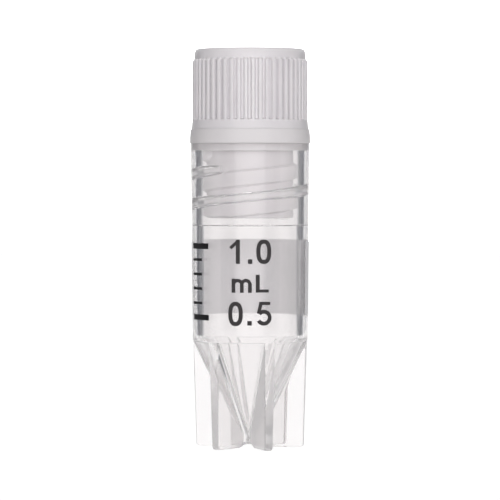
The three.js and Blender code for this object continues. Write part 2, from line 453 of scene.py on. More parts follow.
@dataclass(frozen=True)
class MilkyPlastic(Finish):
    """Plastic or rubber that scatters light inside, moulded with a fine satin skin.

    Light sinks in and comes out nearby, so hollows stay pale and edges glow a little. A fine
    grain breaks up the gloss, and slow clouds vary the milkiness.
    """

    pale: str = "ebe7e9"
    dense: str = "e0dcdf"
    cloud_mm: float = 3.5
    grain_mm: float = 0.12
    grain_height_mm: float = 0.003
    roughness: float = 0.3
    rough_swing: float = 0.05
    ior: float = 1.49
    scatter: float = 0.6
    scatter_mm: float = 0.3
    scatter_rgb: tuple[float, float, float] = (1.0, 0.97, 0.95)
    # Painted shade for a knurl's grooves: its grey, its strength, the slants over which it grows, and the
    # radii and heights where it lies.
    painted_groove_grey: str = "8f8c92"
    painted_shade_share: float = 0.0
    groove_slant: Pair = (0.01, 0.2)
    groove_floor_mm: float = 5.72
    groove_crest_mm: float = 5.93
    groove_low_mm: float = 33.9
    groove_high_mm: float = 40.05

    def paint_groove_shade(self, tree: Tree, place: Socket, colour: Socket) -> Socket:
        """Paints shade into a knurl's grooves, as a grey mixed into the colour.

        The share is how far the radius has sunk from the crest to the groove's floor, times how
        slanted the round wall is to the eye, so the painted shade deepens towards the cap's sides.

        Args:
            tree: the material's nodes.
            place: its Object coordinates.
            colour: the socket with the plain colour.

        Returns:
            The socket with the colour and its painted shade.
        """
        x, y, z = add_node(tree, "ShaderNodeSeparateXYZ", {0: place}).outputs
        outward = {0: add_node(tree, "ShaderNodeCombineXYZ", {0: x, 1: y}).outputs[0]}
        reach = add_node(tree, "ShaderNodeVectorMath", outward, {"operation": "LENGTH"}).outputs["Value"]
        to_world = {"vector_type": "NORMAL", "convert_from": "OBJECT", "convert_to": "WORLD"}
        turned = {0: add_node(tree, "ShaderNodeVectorTransform", outward, to_world).outputs[0]}
        barrel = add_node(tree, "ShaderNodeVectorMath", turned, {"operation": "NORMALIZE"}).outputs[0]
        slant = add_node(tree, "ShaderNodeLayerWeight", {"Blend": 0.5, "Normal": barrel}).outputs["Facing"]
        found: dict[str, object] = {"z": z, "reach": reach, "slant": slant}
        steps = (
            ("sunk", "SMOOTHSTEP", "reach", self.groove_crest_mm * MM, self.groove_floor_mm * MM, 0.0, 1.0),
            ("slanted", "SMOOTHSTEP", "slant", *self.groove_slant, 0.0, self.painted_shade_share),
            ("over", "GREATER_THAN", "z", self.groove_low_mm * MM),
            ("under", "LESS_THAN", "z", self.groove_high_mm * MM),
            ("here", "MULTIPLY", "over", "under"),
            ("groove", "MULTIPLY", "here", "sunk"),
            ("share", "MULTIPLY", "groove", "slanted"),
        )
        wire_steps(tree, found, steps)
        # The grey mixed in here is painted shade, not a colour of the plastic.
        ends = {0: found["share"], 6: colour, 7: linear(self.painted_groove_grey)}
        return add_node(tree, "ShaderNodeMix", ends, {"data_type": "RGBA"}).outputs[2]

    def surface(self, tree: Tree) -> Socket:
        """Principled shader with scattering, clouded colour, a fine grain and, where asked, painted shade in
        a knurl's grooves.

        Args:
            tree: the material's nodes.

        Returns:
            The socket of the shader.
        """
        place = add_node(tree, "ShaderNodeTexCoord").outputs["Object"]
        cloud, shade = clouded(tree, noise_inputs(place, self.cloud_mm, 2.0), (self.pale, self.dense))
        swing = {"Value": cloud, "To Min": self.roughness - self.rough_swing}
        swing["To Max"] = self.roughness + self.rough_swing
        # Painted shade in the grooves, for a finish that asks for it.
        if self.painted_shade_share > 0.0:
            shade = self.paint_groove_shade(tree, place, shade)
        skin = {
            "Base Color": shade,
            "Roughness": add_node(tree, "ShaderNodeMapRange", swing).outputs["Result"],
            "IOR": self.ior,
            "Subsurface Weight": self.scatter,
            "Subsurface Radius": self.scatter_rgb,
            "Subsurface Scale": self.scatter_mm * MM,
            "Normal": grained(tree, noise_inputs(place, self.grain_mm, 2.0), self.grain_height_mm),
        }
        return add_node(tree, "ShaderNodeBsdfPrincipled", skin).outputs[0]


@dataclass(frozen=True)
class PrintedInk(Finish):
    """Screen-printed ink, cured to a thin matte film.

    It covers well but not evenly, so its tone wanders a little between two near shades, and its
    surface keeps a faint tooth from the screen.
    """

    thick: str = "2b292c"
    thin: str = "3a383b"
    patch_mm: float = 0.7
    tooth_mm: float = 0.09
    tooth_height_mm: float = 0.002
    roughness: float = 0.75
    gloss: float = 0.15

    def surface(self, tree: Tree) -> Socket:
        """Principled shader whose tone follows a fine noise, with the screen's tooth as a bump.

        Args:
            tree: the material's nodes.

        Returns:
            The socket of the shader.
        """
        place = add_node(tree, "ShaderNodeTexCoord").outputs["Object"]
        skin = {
            "Base Color": clouded(tree, noise_inputs(place, self.patch_mm, 3.0), (self.thick, self.thin))[1],
            "Roughness": self.roughness,
            "Specular IOR Level": self.gloss,
            "Normal": grained(tree, noise_inputs(place, self.tooth_mm, 2.0), self.tooth_height_mm),
        }
        return add_node(tree, "ShaderNodeBsdfPrincipled", skin).outputs[0]


# ---- Thread ----


@dataclass(frozen=True)
class ThreadRidge:
    """A right-handed helical ridge, of trapezium section with eased flanks. Lengths in mm."""

    root_width: float
    crest_width: float
    lead_in: float
    top_azimuth: float
    top_z: float
    sweep: float
    depth: float = 0.4
    pitch: float = 3.1
    nose: float = 14.0
    nose_tip: float = 0.1
    margin: float = 0.02
    ridge_rows: int = 30
    plain_rows: int = 9

    def rise(self, azimuth: Array, height: Array) -> Array:
        """How far the ridge stands out of its wall at each place.

        The ridge's middle falls by one pitch a turn from its top end. Across it, the rise is the
        depth times an eased ramp that climbs from half the root width to half the crest width.
        Along it, with t growing from 0 at an end to 1 within the nose, the width grows by
        sqrt(t (2 - t)), which is a round nose. The height grows by a quarter sine over the lead-in.

        Args:
            azimuth: degrees.
            height: mm.

        Returns:
            The rise in mm, 0 away from the ridge.
        """
        best = np.zeros(np.broadcast(azimuth, height).shape)
        flank = (self.root_width - self.crest_width) / 2.0
        for lap in range(int(self.sweep // 360.0) + 1):
            along = (self.top_azimuth - azimuth) % 360.0 + 360.0 * lap
            middle = self.top_z - self.pitch * along / 360.0
            from_end = np.minimum(along, self.sweep - along)
            t = np.clip(from_end / self.nose, 0.0, 1.0)
            wide = np.maximum(np.sqrt(t * (2.0 - t)), self.nose_tip)
            grown = np.sin(np.clip(from_end / self.lead_in, 0.0, 1.0) * math.pi / 2.0)
            across = smooth_step((self.root_width / 2.0 - np.abs(height - middle) / wide) / flank)
            best = np.maximum(best, grown * across)
        return best * self.depth

    def wall(self, azimuth: Array, radius: float, low: float, high: float, outward: float) -> Array:
        """A threaded wall whose rows run along the ridge, so that its flanks stay smooth.

        Each row keeps its distance from the ridge's middle and falls by one pitch a turn. A row
        that would pass the wall's top or bottom runs along that edge instead.

        Args:
            azimuth: degrees of the columns, growing, the last one a full turn past the first.
            radius: the plain wall's radius, mm.
            low: height of the wall's bottom, mm.
            high: height of its top, mm.
            outward: 1 if the ridge stands out of the wall, -1 if it stands in towards the axis.

        Returns:
            Grid of points, from the top row down.
        """
        half = self.root_width / 2.0
        ridge = np.linspace(half + self.margin, -half - self.margin, self.ridge_rows)
        over = np.append(ridge, np.linspace(-half, half - self.pitch, self.plain_rows)[2:-1])
        fall = self.pitch * (self.top_azimuth - azimuth) / 360.0
        first = math.floor((self.top_z - fall.min() - high) / self.pitch) - 1
        last = math.ceil((self.top_z - fall.max() - low) / self.pitch) + 1
        laps = self.pitch * np.arange(first, last + 1)
        rows = (self.top_z + over[None, :] - laps[:, None]).reshape(-1, 1)
        height = np.clip(rows - fall[None, :], low, high)
        return polar(radius + outward * self.rise(azimuth, height), azimuth, height)


# ---- Tube ----


@dataclass
class VialTube:
    """Clear tube with an internal thread, a cone-shaped bottom and a foot of six fins. Sizes in mm."""

    foot_height: float = 11.0
    shoulder_z: float = 23.1
    rim_z: float = 31.5
    bore: float = 5.0
    mouth_bore: float = 5.11
    base_radius: float = 5.97
    rim_radius: float = 6.18
    ledge_step: float = 0.22
    ledge_round: float = 0.15
    rim_round: float = 0.04
    mouth_chamfer: float = 0.08
    ball_z: float = 2.0
    tip_radius: float = 1.2
    cone_wall: float = 0.82
    bore_fillet: float = 2.0
    fin_count: int = 6
    fin_first: float = 20.3
    fin_half_foot: float = 0.4
    fin_half_top: float = 0.56
    fin_reach_foot: float = 5.6
    fin_reach_top: float = 5.93
    fin_corner: float = 0.35
    fin_edge_round: float = 0.1
    fin_fillet: float = 0.3
    fin_edge_power: float = 70.0
    fin_edge_column: float = 5.0
    power_span: float = 5.0
    relief_inner: float = 0.45
    relief_outer: float = 2.05
    relief_depth: float = 0.58
    gate_radius: float = 0.26
    gate_depth: float = 0.2
    corner_gap: float = 0.02
    ledge_reach: float = 0.1
    search_from: float = 0.3
    search_steps: int = 600
    sector_columns: tuple[float, ...] = (
        *(0.0, 1.8, 3.3, 4.35, 4.75, 5.0, 5.25, 5.6, 6.2, 7.0, 8.0, 9.3, 10.8, 12.6, 14.5, 16.5),
        *(18.7, 21.0, 23.3, 25.5, 27.8, 30.0),
    )
    under_rings: tuple[float, ...] = (
        *(0.0, 0.1, 0.17, 0.24, 0.32, 0.45, 0.6, 0.8, 1.0, 1.25, 1.5, 1.8, 2.05, 2.3, 2.8, 3.4),
        *(4.0, 4.6, 5.0, 9.0),
    )
    corner_rings: tuple[float, ...] = (0.01, 0.03, 0.06, 0.1, 0.16, 0.24, 0.35)
    ridge: ThreadRidge = ThreadRidge(
        root_width=1.2,
        crest_width=0.3,
        lead_in=31.0,
        top_azimuth=-23.4,
        top_z=28.877,
        sweep=583.2,
        depth=0.32,
    )
    finish: ClearPolypropylene = ClearPolypropylene("moulded_clear_polypropylene")

    def cone_angle(self) -> float:
        """Half angle of the cone that touches the tip's ball and ends at the ledge, in radians."""
        top, rise = self.base_radius - self.ledge_step, self.foot_height - self.ball_z
        return math.atan2(top, rise) - math.asin(self.tip_radius / math.hypot(top, rise))

    def cone(self, height: Array, depth: float = 0.0) -> Array:
        """Radius of the cone and its ball tip, or of the surface at a depth inside it.

        Args:
            height: mm.
            depth: mm under the outside.

        Returns:
            The radius in mm, 0 below the tip.
        """
        tilt, ball = self.cone_angle(), self.tip_radius - depth
        above = height - self.ball_z
        side = (ball + above * math.sin(tilt)) / math.cos(tilt)
        tip = np.sqrt(np.maximum(0.0, ball * ball - above * above))
        return np.where(above > -ball * math.sin(tilt), side, tip)

    def nominal_offsets(self) -> Array:
        """Azimuths of a sector's columns from its fin's middle, close together at the fin's edge."""
        half = np.array(self.sector_columns)
        return np.concatenate([-half[:0:-1], half[:-1]])

    def fin_half(self, height: Array) -> Array:
        """Half thickness of a fin, which grows evenly from its foot to the ledge."""
        share = np.clip(height / self.foot_height, 0.0, 1.0)
        return self.fin_half_foot + (self.fin_half_top - self.fin_half_foot) * share

    def fin_side(self, height: Array) -> Array:
        """Radius of a fin's outer edge, drafted evenly, before its corner is rounded."""
        share = np.clip(height / self.foot_height, 0.0, 1.0)
        return self.fin_reach_foot + (self.fin_reach_top - self.fin_reach_foot) * share

    def fin_reach(self, height: Array) -> Array:
        """Radius of a fin's outer edge, rounded at the foot's corner."""
        return self.fin_side(height) - corner_cut(height, self.fin_corner)

    def offset_at(self, nominal: Array, height: Array) -> Array:
        """Real azimuth from the fin's middle, so that one column follows the fin's edge.

        Inside the edge the nominal offset is scaled to the edge's angle, asin(half / reach), and
        outside it the rest of the sector is shared out evenly.

        Args:
            nominal: degrees from the fin's middle, before they are shared out.
            height: mm.

        Returns:
            Degrees from the fin's middle.
        """
        edge, sector = self.fin_edge_column, 180.0 / self.fin_count
        real = np.degrees(np.arcsin(self.fin_half(height) / self.fin_side(height)))
        size = np.abs(nominal)
        inside = size * real / edge
        outside = real + (size - edge) * (sector - real) / (sector - edge)
        return np.sign(nominal) * np.where(size <= edge, inside, outside)

    def sine_at(self, nominal: Array, height: Array) -> Array:
        """Sine of each column's real azimuth from its fin's middle, at a height."""
        return np.sin(np.radians(np.abs(self.offset_at(nominal, height))))

    def relief(self, radius: Array) -> Array:
        """Height of the foot's underside, hollowed towards the axis, with the gate's nub there.

        Args:
            radius: mm.

        Returns:
            The height in mm.
        """
        slope = (self.relief_outer - radius) / (self.relief_outer - self.relief_inner)
        nub = self.gate_depth * (1.0 - smooth_step(radius / self.gate_radius))
        return self.relief_depth * np.clip(slope, 0.0, 1.0) - nub

    def foot_outline(self, sine: Array, height: Array, above: Array) -> Array:
        """Radius of the star foot, cone included, along each azimuth.

        A ray at an angle from a fin's middle leaves the fin's flat side at half / sine. It leaves
        the cone at the cone's radius. Between the two, the fillet is the circle that touches both,
        which gives a quadratic for the radius. A soft minimum with the fin's reach rounds its
        outer edges, and the half thickness shrinks by a quarter circle at the underside.

        Args:
            sine: sine of the azimuth from the fin's middle, not negative.
            height: mm.
            above: height above the fin's underside, mm.

        Returns:
            The radius in mm.
        """
        half = self.fin_half(height) - corner_cut(above, self.fin_edge_round)
        s = np.maximum(sine, TINY)
        c, f = self.cone(height), self.fin_fillet
        side = half / s
        a, b = 1.0 + s * s, s * (f + half) + f + c
        rest = (f + half) ** 2 + (f + c) ** 2 - f * f
        rounded = (b - np.sqrt(np.maximum(0.0, b * b - a * rest))) / a
        shape = np.where(s * (c + f) <= half, side, np.where(s * c - half >= f, c, rounded))
        reach, power = self.fin_reach(height), self.fin_edge_power
        shape = np.clip(shape, reach / self.power_span, reach * self.power_span)
        return shape * (1.0 + (shape / reach) ** power) ** (-1.0 / power)

    def crossing(self, sine: Array, over: Callable[[Array], Array]) -> Array:
        """Height at which each column first meets a condition on the way up to the ledge.

        Args:
            sine: sine of each column's azimuth from its fin's middle.
            over: gives, for heights by columns, a number that turns positive at the height.

        Returns:
            One height per column, the ledge's where it is never met.
        """
        heights = np.linspace(self.search_from, self.foot_height, self.search_steps)[:, None]
        value = over(heights) + 0.0 * sine
        met = value > 0.0
        index = np.clip(np.argmax(met, axis=0), 1, len(heights) - 1)
        columns = np.arange(value.shape[1])
        low, high = value[index - 1, columns], value[index, columns]
        share = np.clip(-low / np.where(high == low, 1.0, high - low), 0.0, 1.0)
        found = heights[index - 1, 0] + share * (heights[index, 0] - heights[index - 1, 0])
        return np.where(met.any(axis=0), found, self.foot_height)

    def foot_rows(self, nominal: Array) -> tuple[Array, Array, Array]:
        """Rows of the underside, the fins' sides, their fillets and the cone, from the axis up.

        Args:
            nominal: nominal azimuth of each column from its fin's middle.

        Returns:
            Radii, real azimuths from the fins' middles, and heights, each rows by columns.
        """
        sine = self.sine_at(nominal, np.zeros_like(nominal))
        zero = np.zeros_like(sine)
        edge = self.foot_outline(sine, zero, zero)
        edge = self.foot_outline(sine, self.relief(edge), zero)
        floor = self.relief(edge)
        under = np.minimum(np.array(self.under_rings)[:, None], edge)
        blend_from = self.crossing(
            sine, lambda z: self.sine_at(nominal, z) * (self.cone(z) + self.fin_fillet) - self.fin_half(z)
        )
        blend_to = self.crossing(
            sine, lambda z: self.sine_at(nominal, z) * self.cone(z) - self.fin_half(z) - self.fin_fillet
        )
        blend_from = np.maximum(blend_from, floor + self.fin_corner + self.corner_gap)
        blend_to = np.maximum(blend_to, blend_from)
        corner = floor + np.array(self.corner_rings)[:, None]
        wall = line(corner[-1], blend_from, 12)
        blend = line(blend_from, blend_to, 8)
        height = np.concatenate([corner, wall, blend, line(blend_to, self.foot_height, 18)])
        sines = self.sine_at(nominal, height)
        base = np.broadcast_to(self.offset_at(nominal, zero), under.shape)
        return (
            np.concatenate([under, self.foot_outline(sines, height, height - floor)]),
            np.concatenate([base, self.offset_at(nominal, height)]),
            np.concatenate([self.relief(under), height]),
        )

    def wall_profile(self) -> Array:
        """Outside above the ledge, rim and mouth, as (radius, height) pairs going up."""
        r, low = self.ledge_round, self.foot_height + self.ledge_round
        rim_r = self.rim_radius - self.rim_round
        top = (self.rim_radius, self.rim_z - self.rim_round)
        lip = (self.mouth_bore + self.mouth_chamfer, self.rim_z)
        parts = [
            arc((self.base_radius - r, low), r, -90.0, 0.0, 7),
            line((self.base_radius, low), top, 12),
            arc((rim_r, top[1]), self.rim_round, 0.0, 90.0, 7)[1:],
            line((rim_r, self.rim_z), lip, 3),
            line(lip, (self.mouth_bore, self.rim_z - self.mouth_chamfer), 4),
        ]
        return np.concatenate(parts)

    def bore_profile(self) -> Array:
        """Inside below the thread: shoulder, bore, fillet, inner cone and tip, going down."""
        tilt = self.cone_angle()
        inner = self.tip_radius - self.cone_wall
        meet_z = self.ball_z + (self.bore * math.cos(tilt) - inner) / math.sin(tilt)
        touch = np.array([inner * math.cos(tilt), self.ball_z - inner * math.sin(tilt)])
        top, corner = np.array([self.bore, self.shoulder_z]), np.array([self.bore, meet_z])
        mouth = (self.mouth_bore, self.shoulder_z)
        shoulder = (self.bore, self.shoulder_z - (self.mouth_bore - self.bore))
        curve = fillet(top, corner, touch, self.bore_fillet, 9)
        tip = arc((0.0, self.ball_z), inner, -math.degrees(tilt), -90.0, 8)
        parts = [[mouth], line(mouth, shoulder, 3), line(shoulder, curve[0], 6), curve[1:]]
        return np.concatenate([*parts, line(curve[-1], touch, 10), tip[1:]])

    def build(self) -> Object:
        """One closed skin from the foot's underside over the rim and down to the inner tip."""
        offsets = self.nominal_offsets()
        sectors = self.fin_first + 360.0 / self.fin_count * np.arange(self.fin_count)
        nominal = np.tile(offsets, self.fin_count)
        middle = np.repeat(sectors, len(offsets))
        foot_r, foot_offset, foot_z = self.foot_rows(nominal)
        profile = self.wall_profile()
        near_ledge = profile[:, 1:] < self.foot_height + self.ledge_reach
        wall_r = np.maximum(profile[:, :1], np.where(near_ledge, foot_r[-1], 0.0))
        wall_z = np.broadcast_to(profile[:, 1:], wall_r.shape)
        outside = polar(
            np.maximum(np.concatenate([foot_r, wall_r]), 0.0),
            middle + np.concatenate([foot_offset, np.broadcast_to(nominal, wall_r.shape)]),
            np.concatenate([foot_z, wall_z]),
        )
        turn = middle + nominal
        full_turn = np.append(turn, turn[0] + 360.0)
        mouth_low = self.rim_z - self.mouth_chamfer
        thread = self.ridge.wall(full_turn, self.mouth_bore, self.shoulder_z, mouth_low, -1.0)
        bore = self.bore_profile()
        inside = polar(bore[:, :1], full_turn, bore[:, 1:])
        return piece("moulded_tube", [closed_skin([ringed(outside), thread, inside])])

    def dress(self, tube: Object) -> None:
        """Gives the tube its clear plastic and its body."""
        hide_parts("vial_tube")
        settle(tube, self.finish, Body.TUBE)

    def wall_at(self, height: Array) -> Array:
        """Outer radius of the straight, slightly drafted wall at a height."""
        low, high = self.foot_height + self.ledge_round, self.rim_z - self.rim_round
        return self.base_radius + (self.rim_radius - self.base_radius) * (height - low) / (high - low)


# ---- Printing on the tube ----

STRAIGHT_POINTS = 14
BEND_POINTS = 36
OVAL_POINTS = 64
OVAL_POWER = 2.5


@dataclass(frozen=True)
class Stroke:
    """A line of ink laid on the unrolled wall: its middle as (along, height) pairs, and its width."""

    middle: Array
    width: float
    closed: bool = False


def straight(start: Pair, end: Pair, width: float) -> Stroke:
    """A straight stroke, with points close enough to follow the wall."""
    return Stroke(np.linspace(start, end, STRAIGHT_POINTS), width)


def bend(centre: Pair, size: Pair, turn: Pair, width: float) -> Stroke:
    """A stroke along part of an ellipse.

    Args:
        centre: place along the wall and height, mm.
        size: half width and half height, mm.
        turn: first and last angle, degrees.
        width: mm.

    Returns:
        The stroke.
    """
    angle = np.radians(np.linspace(*turn, BEND_POINTS))[:, None]
    path = np.array(centre) + np.array(size) * np.concatenate([np.cos(angle), np.sin(angle)], axis=1)
    return Stroke(path, width)


def oval(centre: Pair, size: Pair, width: float) -> Stroke:
    """A closed stroke along a superellipse, |x|^2.5 + |y|^2.5 = 1 scaled to the size.

    Args:
        centre: place along the wall and height, mm.
        size: half width and half height, mm.
        width: mm.

    Returns:
        The stroke.
    """
    angle = np.linspace(0.0, 2.0 * np.pi, OVAL_POINTS, endpoint=False)[:, None]
    circle = np.concatenate([np.cos(angle), np.sin(angle)], axis=1)
    path = np.array(centre) + np.array(size) * np.sign(circle) * np.abs(circle) ** (2.0 / OVAL_POWER)
    return Stroke(path, width, closed=True)


@dataclass
class Printing:
    """Ink on the tube: the volume scale and its figures in dark grey, and a white writing patch."""

    tube: VialTube
    lift: float = 0.004
    film: float = 0.012
    across: int = 5
    major_marks: tuple[float, ...] = (20.92, 13.6)
    minor_marks: tuple[float, ...] = (19.52, 18.04, 16.56, 15.06)
    major_width: float = 0.58
    minor_width: float = 0.27
    mark_left: float = -74.5
    major_right: float = -44.7
    minor_right: float = -54.7
    figures_left: float = -0.112
    figure_stem: float = 0.43
    letter_stem: float = 0.39
    point_width: float = 0.46
    patch_low: float = 13.7
    patch_high: float = 21.55
    patch_from: float = 71.0
    patch_to: float = 263.0
    patch_corner: float = 0.35
    patch_ease: tuple[float, ...] = (0.0, 0.05, 0.15, 0.3, 0.5, 0.75, 1.0)
    patch_along: int = 90
    patch_across: int = 15
    sharp: float = 30.0
    dark: PrintedInk = PrintedInk("screen_printed_dark_ink", thick="3b3839", thin="464344")
    scale_ink: PrintedInk = PrintedInk("screen_printed_black_ink", thick="161517", thin="212022")
    white: PrintedInk = PrintedInk(
        "screen_printed_white_ink", thick="ecebed", thin="e5e4e7", patch_mm=2.2, roughness=0.55
    )

    def film_over(self, azimuth: Array, height: Array, closed: bool = False) -> Skin:
        """A closed film of ink over a strip of the wall.

        A loop of points round each station runs across the outer face and back along the inner
        face. A strip that doesn't close on itself shrinks to the station's middle at both ends.

        Args:
            azimuth: degrees, stations by places across.
            height: mm, likewise.
            closed: whether the last station meets the first.

        Returns:
            Corners and triangles of the film.
        """
        stations, across = height.shape
        depth = np.tile(np.repeat([self.lift + self.film, self.lift], across), (stations, 1))
        grids = [np.concatenate([grid, grid[:, ::-1]], axis=1) for grid in (azimuth, height)]
        if not closed:
            level = np.full((1, 2 * across), self.lift + self.film / 2.0)
            depth = np.concatenate([level, depth, level])
            middle = np.full(2 * across, across // 2)
            grids = [np.concatenate([grid[:1, middle], grid, grid[-1:, middle]]) for grid in grids]
        film = polar(self.tube.wall_at(grids[1]) + depth, *grids)
        return closed_skin([looped(film) if closed else ringed(film)])

    def film_skin(self, stroke: Stroke) -> Skin:
        """A closed film of ink along a stroke.

        The stroke's middle is carried sideways by its width along the unit normal of the path, and
        length along the wall becomes azimuth, length / radius.

        Args:
            stroke: the stroke to lay.

        Returns:
            Corners and triangles of the film.
        """
        path = stroke.middle
        if stroke.closed:
            along = np.roll(path, -1, axis=0) - np.roll(path, 1, axis=0)
        else:
            along = np.gradient(path, axis=0)
        along = along / np.linalg.norm(along, axis=1, keepdims=True)
        side = np.stack([-along[:, 1], along[:, 0]], axis=-1)
        step = np.linspace(-0.5, 0.5, self.across) * stroke.width
        flat = path[:, None, :] + step[None, :, None] * side[:, None, :]
        azimuth = np.degrees(flat[..., 0] / self.tube.wall_at(flat[..., 1]))
        return self.film_over(azimuth, flat[..., 1], stroke.closed)

    def mark(self, height: float, right: float, width: float) -> Stroke:
        """One mark of the scale, level, from the left end that all marks share.

        Args:
            height: of its middle, mm.
            right: azimuth of its right end, degrees.
            width: mm.

        Returns:
            The stroke.
        """
        radius = float(self.tube.wall_at(np.array(height)))
        ends = [math.radians(turn) * radius for turn in (self.mark_left, right)]
        return straight((ends[0], height), (ends[1], height), width)

    def figures(self) -> list[Stroke]:
        """Strokes of "1.0", "mL" and "0.5", in a plain heavy sans-serif hand."""
        heavy, stem, point = self.figure_stem, self.letter_stem, self.point_width
        rows = (
            (straight, (-1.14, 19.17), (-1.14, 21.64), heavy),
            (straight, (-1.2, 21.42), (-1.93, 20.76), 0.34),
            (oval, (1.53, 20.4), (0.57, 1.03), heavy),
            (oval, (-1.39, 14.06), (0.55, 1.03), heavy),
            (straight, (0.12, 19.17), (0.12, 19.64), point),
            (straight, (0.06, 12.88), (0.06, 13.35), point),
            (straight, (-1.6, 16.22), (-1.6, 17.66), stem),
            (bend, (-1.165, 17.04), (0.435, 0.43), (155.0, 0.0), 0.36),
            (straight, (-0.73, 16.22), (-0.73, 17.06), stem),
            (bend, (-0.315, 17.04), (0.415, 0.43), (155.0, 0.0), 0.36),
            (straight, (0.1, 16.22), (0.1, 17.06), stem),
            (straight, (0.9, 16.24), (0.9, 18.07), 0.41),
            (straight, (0.7, 16.4), (2.05, 16.4), 0.31),
            (straight, (1.04, 15.13), (2.22, 15.13), 0.33),
            (straight, (1.25, 15.2), (0.98, 14.08), 0.37),
            (bend, (1.53, 13.68), (0.62, 0.61), (142.0, -152.0), 0.41),
        )
        drawn = [shape(*sizes) for shape, *sizes in rows]
        shift = np.array([self.figures_left, 0.0])
        return [Stroke(stroke.middle + shift, stroke.width, stroke.closed) for stroke in drawn]

    def patch_skin(self) -> Skin:
        """The writing patch: a film between two heights, its corners rounded.

        Near each end the patch's height shrinks by a quarter circle of the corner's radius.

        Returns:
            Corners and triangles of the film.
        """
        middle, tall = (self.patch_low + self.patch_high) / 2.0, (self.patch_high - self.patch_low) / 2.0
        radius = float(self.tube.wall_at(np.array(middle)))
        length = math.radians(self.patch_to - self.patch_from) * radius
        start = self.patch_corner * np.array(self.patch_ease)
        body = np.linspace(start[-1], length - start[-1], self.patch_along)[1:-1]
        along = np.concatenate([start, body, length - start[::-1]])
        half = tall - corner_cut(np.minimum(along, length - along), self.patch_corner)
        height = middle + half[:, None] * np.linspace(-1.0, 1.0, self.patch_across)
        azimuth = self.patch_from + np.degrees(along / radius)
        return self.film_over(np.broadcast_to(azimuth[:, None], height.shape), height)

    def build(self) -> tuple[Object, Object, Object]:
        """Scale marks, figures and writing patch."""
        marks = [self.mark(z, self.major_right, self.major_width) for z in self.major_marks]
        marks += [self.mark(z, self.minor_right, self.minor_width) for z in self.minor_marks]
        scale = piece("scale_marks", [self.film_skin(stroke) for stroke in marks], self.sharp)
        figures = piece("scale_figures", [self.film_skin(stroke) for stroke in self.figures()], self.sharp)
        return scale, figures, piece("writing_patch", [self.patch_skin()], self.sharp)

    def dress(self, scale: Object, figures: Object, patch: Object) -> None:
        """Gives each print its ink and lets it ride on the tube.

        Args:
            scale: the marks.
            figures: the numbers and the unit.
            patch: the writing patch.
        """
        settle(scale, self.scale_ink, Body.TUBE)
        settle(figures, self.dark, Body.TUBE)
        settle(patch, self.white, Body.TUBE)


# ---- Sealing ring ----


@dataclass
class SealingRing:
    """Soft washer between the tube's rim and the cap's flange. Sizes in mm."""

    low: float = 31.5
    high: float = 32.95
    neck: float = 4.56
    radius: float = 6.2
    bulge: float = 0.05
    bulge_share: float = 0.3
    edge_round: float = 0.03
    skirt_low: float = 30.7
    skirt_inner: float = 4.94
    skirt_outer: float = 5.118
    skirt_round: float = 0.03
    skirt_bevel: float = 0.02
    neck_slope: float = 0.1
    mouth_chamfer: float = 0.08
    press: float = 0.006
    land: float = 6.1
    land_edge: float = 0.05
    top_ring: float = 5.3
    columns: int = 160
    finish: MilkyPlastic = MilkyPlastic(
        "moulded_translucent_silicone",
        pale="e6e2e3",
        dense="dedadc",
        cloud_mm=2.0,
        roughness=0.48,
        ior=1.42,
        scatter=0.25,
        scatter_mm=0.4,
    )

    def build(self) -> Object:
        """A section with a slight bulge, pressed onto the rim, with a skirt in the mouth."""
        r, widest, press_z = self.edge_round, self.radius + self.bulge, self.low - self.press
        belly_z = self.low + (self.high - self.low) * self.bulge_share
        upper = arc((self.radius - r, self.high - r), r, 0.0, 90.0, 7)
        belly = np.linspace(0.0, 1.0, 8)[1:-1, None]
        side_z = belly_z + belly * (upper[0, 1] - belly_z)
        under = (
            (self.neck, self.low),
            (self.skirt_inner, self.low - self.neck_slope),
            (self.skirt_inner, self.skirt_low + self.skirt_bevel),
            (self.skirt_outer - self.skirt_round, self.skirt_low),
            (self.skirt_outer, self.skirt_low + self.skirt_round),
            (self.skirt_outer, self.low - self.mouth_chamfer),
            (self.skirt_outer + self.mouth_chamfer, press_z),
            (self.land, press_z),
            (self.land + self.land_edge, self.low),
        )
        lower = arc((widest - r, self.low + r), r, -90.0, 0.0, 7)
        side = np.concatenate([widest - self.bulge * smooth_step(belly), side_z], axis=1)
        top = ((self.top_ring, self.high), (self.neck, self.high))
        section = np.concatenate([under, lower, side, upper, top])
        turn = np.linspace(0.0, 360.0, self.columns, endpoint=False)
        points = polar(section[:, :1], turn[None, :], section[:, 1:])
        return piece("silicone_seal", [closed_skin([looped(points)])])

    def dress(self, ring: Object) -> None:
        """Gives the ring its silicone and its body."""
        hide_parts("sealing_ring")
        settle(ring, self.finish, Body.SEAL)


# ---- Screw cap ----


